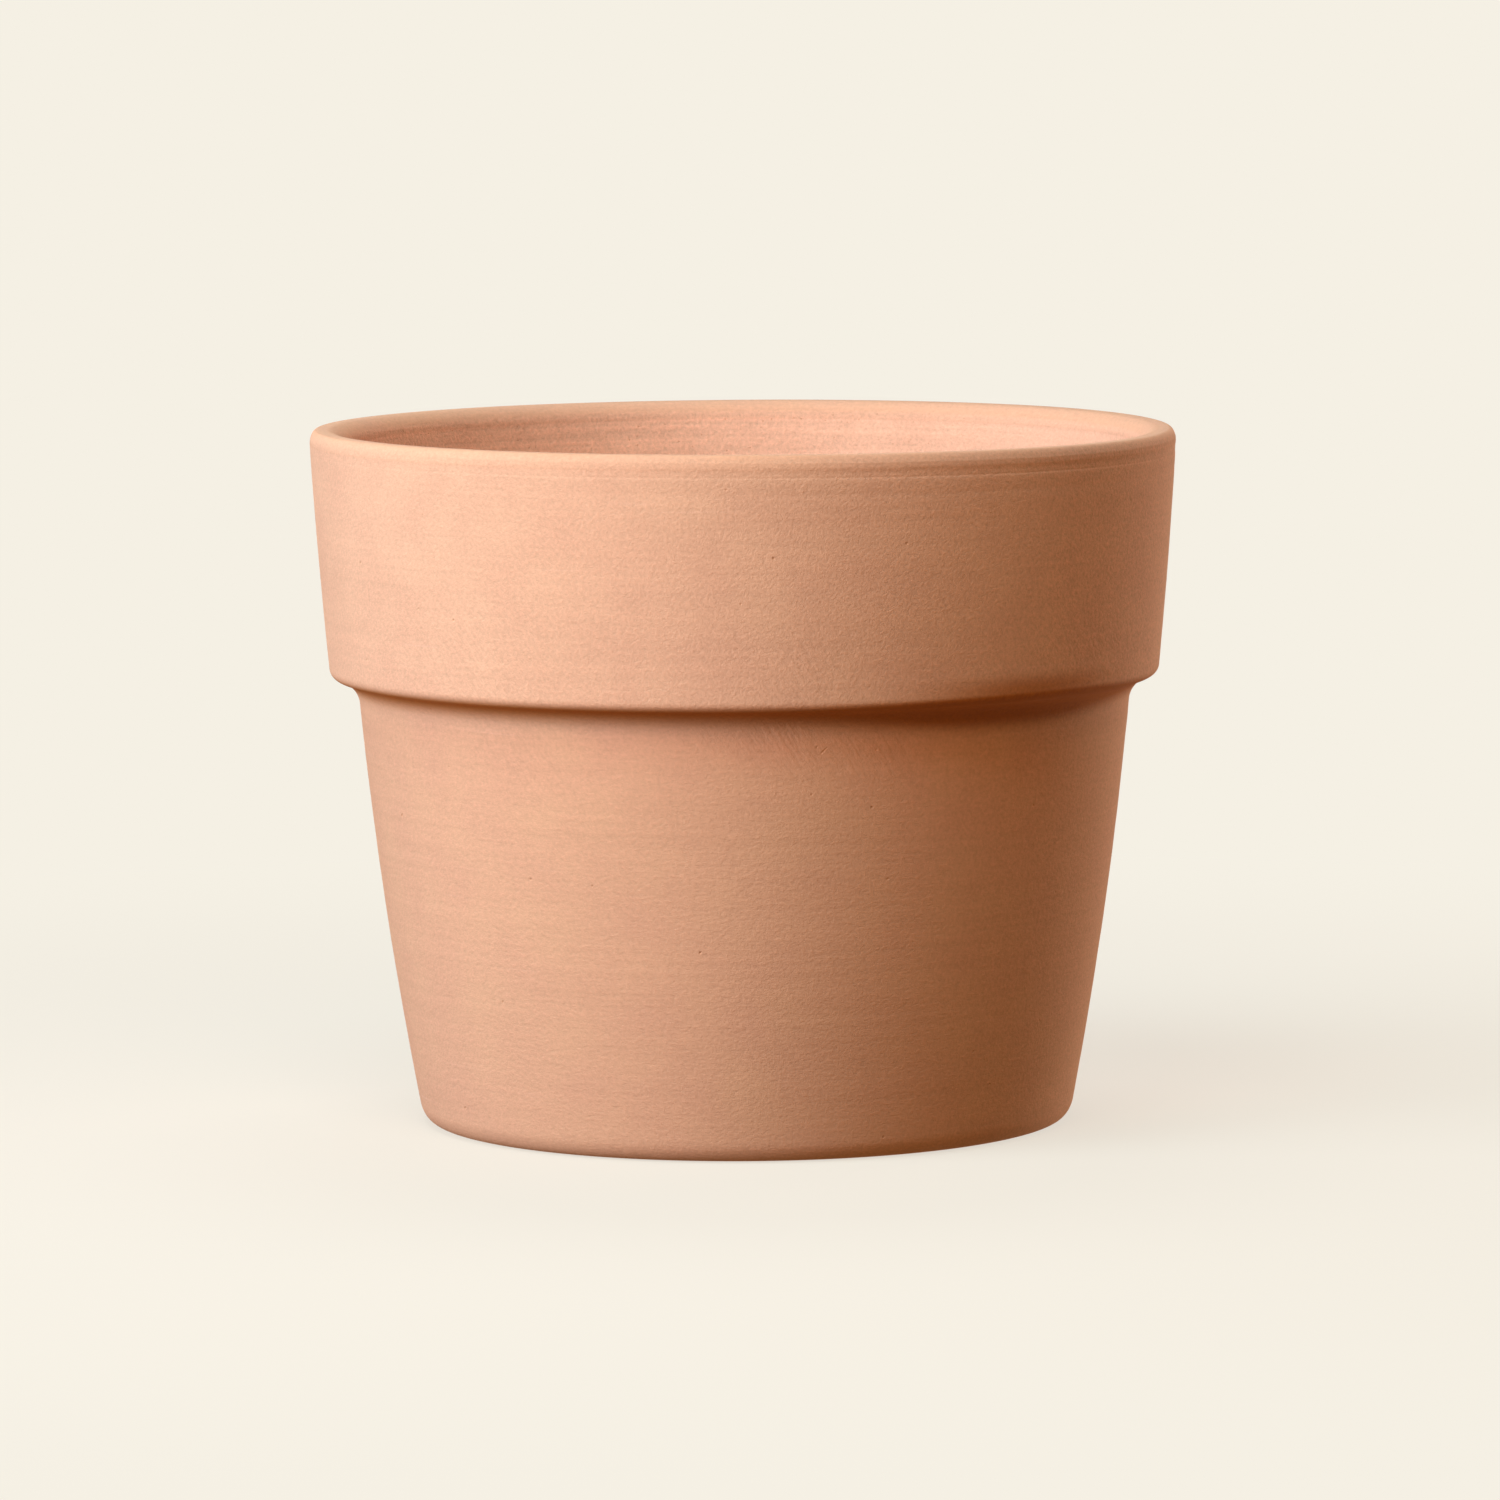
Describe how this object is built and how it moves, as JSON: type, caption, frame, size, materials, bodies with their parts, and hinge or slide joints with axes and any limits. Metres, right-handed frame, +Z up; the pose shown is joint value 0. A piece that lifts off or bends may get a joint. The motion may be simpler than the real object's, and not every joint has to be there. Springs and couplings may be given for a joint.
{
  "type": "terracotta plant pot",
  "caption": "Round tapered terracotta pot with a wide rim band, rounded lip and foot, and a drained floor, for growing a plant in soil.",
  "frame": {"origin": "centre of the flat base, on the pot's axis", "axes": "+Z up along the pot's axis, -Y toward the viewer of the picture"},
  "size_m": [0.15, 0.15, 0.1205],
  "materials": {
    "terracotta": "unglazed matte fired clay with fine turning lines and a sandy grain"
  },
  "bodies": {
    "root": {"rim_band": "terracotta", "pot_wall": "terracotta", "pot_floor": "terracotta"}
  },
  "joints": []
}
